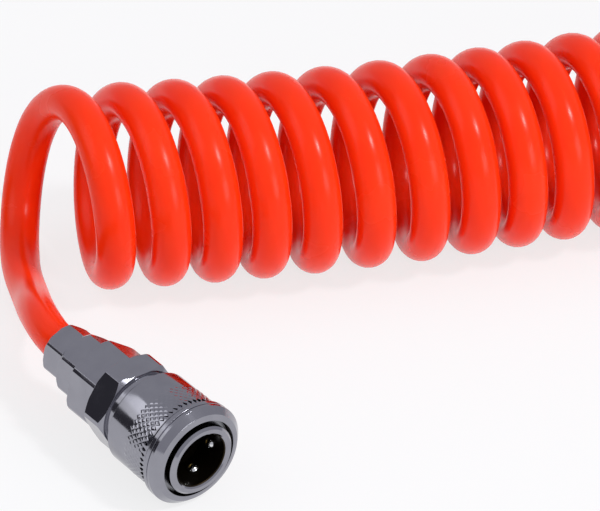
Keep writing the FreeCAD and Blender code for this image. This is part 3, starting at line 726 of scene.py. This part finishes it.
sizes = add(knurls, "NodeGroupInput").outputs
count, spot, turn, step = diamond_places(knurls, sizes)
marks = add(knurls, "GeometryNodePoints", {"Count": count, "Position": spot})
diamond = add(knurls, "GeometryNodeMeshCone", {
    "Vertices": 4, "Radius Top": 0.35, "Radius Bottom": 1.0, "Depth": 1.0})
girth = add(knurls, "ShaderNodeMath", {0: sizes["Radius"], 1: sizes["Around"]}, operation="DIVIDE")
wide = add(knurls, "ShaderNodeMath", {0: girth.outputs[0], 1: DIAMOND_SHARE * math.pi},
           operation="MULTIPLY")
tall = add(knurls, "ShaderNodeMath", {0: step, 1: DIAMOND_SHARE}, operation="MULTIPLY")
size = add(knurls, "ShaderNodeCombineXYZ", {0: tall.outputs[0], 1: wide.outputs[0], 2: sizes["Height"]})
copies = add(knurls, "GeometryNodeInstanceOnPoints", {
    "Points": marks.outputs[0], "Instance": diamond.outputs["Mesh"], "Rotation": turn,
    "Scale": size.outputs[0]})
real = add(knurls, "GeometryNodeRealizeInstances", {0: copies.outputs[0]})
plated = add(knurls, "GeometryNodeSetMaterial", {
    "Geometry": real.outputs[0], "Material": sizes["Material"]})
add(knurls, "NodeGroupOutput", {0: plated.outputs[0]})
print("knurling tree nodes", len(knurls.nodes))

# %% Grow the knurling on the sleeve
KNURL_START, KNURL_LENGTH, KNURL_RADIUS, KNURL_DEPTH = 34.6, 5.4, 10.69, 0.08

knurl_sizes = {
    "Around": 52, "Rows": 7, "Radius": KNURL_RADIUS * MM, "Start": KNURL_START * MM,
    "Length": KNURL_LENGTH * MM, "Height": KNURL_DEPTH * MM, "Material": sleeve_plate,
}
holder = put("knurling_holder", bpy.data.meshes.new("knurling_holder"))
grower = holder.modifiers.new("knurling", "NODES")
grower.node_group = knurls
for item in knurls.interface.items_tree:
    if item.name in knurl_sizes:
        grower[item.identifier] = knurl_sizes[item.name]
rolled = plain_mesh(holder)
rolled.transform(socket_frame)
knurling = put("sleeve_knurling", rolled)
dress(knurling, sleeve_plate)
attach(knurling, "sleeve")
print("knurling faces", len(rolled.polygons))

# %% [markdown]
# ## The floor
#
# A white paper floor. Its colour and a glow are what the camera and mirroring surfaces see, so it looks
# white without more light on the hose, and its matt part still takes the shadow. The light that it
# throws back onto the hose comes from plain white paper without a glow.

# %% Floor
FLOOR_REACH, FLOOR_DROP = 8, 0.0002

sides = ((-1, -1), (1, -1), (1, 1), (-1, 1))
corners = [(x * FLOOR_REACH, y * FLOOR_REACH, -FLOOR_DROP) for x, y in sides]
ground = bpy.data.meshes.new("floor")
ground.from_pydata(corners, [], [(0, 1, 2, 3)])
floor = put("floor", ground)

paper = bpy.data.materials.new("matt_white_paper")
paper.use_nodes = True
tree = paper.node_tree
tree.nodes.clear()
path = add(tree, "ShaderNodeLightPath")
seen = add(tree, "ShaderNodeMath", {0: path.outputs["Is Camera Ray"], 1: path.outputs["Is Glossy Ray"]})
seen = add(tree, "ShaderNodeMath", {0: seen.outputs[0], 1: path.outputs["Is Transmission Ray"]},
           use_clamp=True)
matt = add(tree, "ShaderNodeBsdfDiffuse", {"Color": colour("#f2f2f4")})
faint = add(tree, "ShaderNodeBsdfDiffuse", {"Color": colour("#7c7c7e")})
glow = add(tree, "ShaderNodeEmission", {"Color": colour("#ffffff"), "Strength": 0.76})
lit = add(tree, "ShaderNodeAddShader", {0: faint.outputs[0], 1: glow.outputs[0]})
both = add(tree, "ShaderNodeMixShader", {0: seen.outputs[0], 1: matt.outputs[0], 2: lit.outputs[0]})
add(tree, "ShaderNodeOutputMaterial", {"Surface": both.outputs[0]})
floor.data.materials.append(paper)
print("floor", FLOOR_REACH * 2, "m wide")

# %% [markdown]
# ## The world
#
# An even pale grey, a little lighter overhead, with one dark patch, as a room has round a small set:
# chrome needs something dark to mirror, or its faces can't be told apart.

# %% World
DARK_SIDE = Vector((-0.93, 0.32, 0.19)).normalized()

world = bpy.data.worlds.new("studio")
bpy.context.scene.world = world
world.use_nodes = True
tree = world.node_tree
place = add(tree, "ShaderNodeTexCoord")
way = add(tree, "ShaderNodeSeparateXYZ", {0: place.outputs["Generated"]})
height = add(tree, "ShaderNodeMapRange", {"Value": way.outputs[2], "From Min": 0.0, "From Max": 1.0})
sky = add(tree, "ShaderNodeMix", {
    "Factor": height.outputs[0], 6: colour("#c0c0c7"), 7: colour("#cacad0")}, data_type="RGBA")
towards = add(tree, "ShaderNodeVectorMath", {0: place.outputs["Generated"], 1: DARK_SIDE},
              operation="DOT_PRODUCT")
shade = add(tree, "ShaderNodeMapRange", {
    "Value": towards.outputs["Value"], "From Min": 0.86, "From Max": 0.93},
    interpolation_type="SMOOTHSTEP")
room = add(tree, "ShaderNodeMix", {
    "Factor": shade.outputs[0], 6: sky.outputs[2], 7: colour("#47464c")}, data_type="RGBA")
tree.links.new(room.outputs[2], tree.nodes["Background"].inputs["Color"])
print("dark side of the room", DARK_SIDE)

# %% [markdown]
# ## The lights
#
# Three soft boxes. The small key light leaves a spot of light on each loop, the wide fill opens the
# shadows on the left, and a low one on the right reaches in under the loops. Each is placed by how far
# right, up and towards the camera it stands, as the camera sees it.

# %% Lights
middle = (Vector(cad_box[0]) + Vector(cad_box[1])) / 2


def soft_box(name, side, lift, towards, distance, size, power):
    """A square area light, so far right, up and towards the camera from the object's middle."""
    light = bpy.data.lights.new(name, "AREA")
    light.shape = "SQUARE"
    light.size = size
    light.energy = power
    way = (right * side + top * lift - look * towards).normalized()
    holder = put(name, light)
    holder.matrix_world = way.to_track_quat("Z", "Y").to_matrix().to_4x4()
    holder.location = middle + way * distance
    print(name, size, "m wide,", power, "W")


soft_box("key_light", 0.5, 0.48, 0.72, 1.2, 0.18, 6.0)
soft_box("fill_light", -0.8, 0.5, 0.6, 1.4, 0.9, 3.0)
soft_box("low_light", 0.75, -0.15, 0.8, 1.3, 0.5, 3.5)
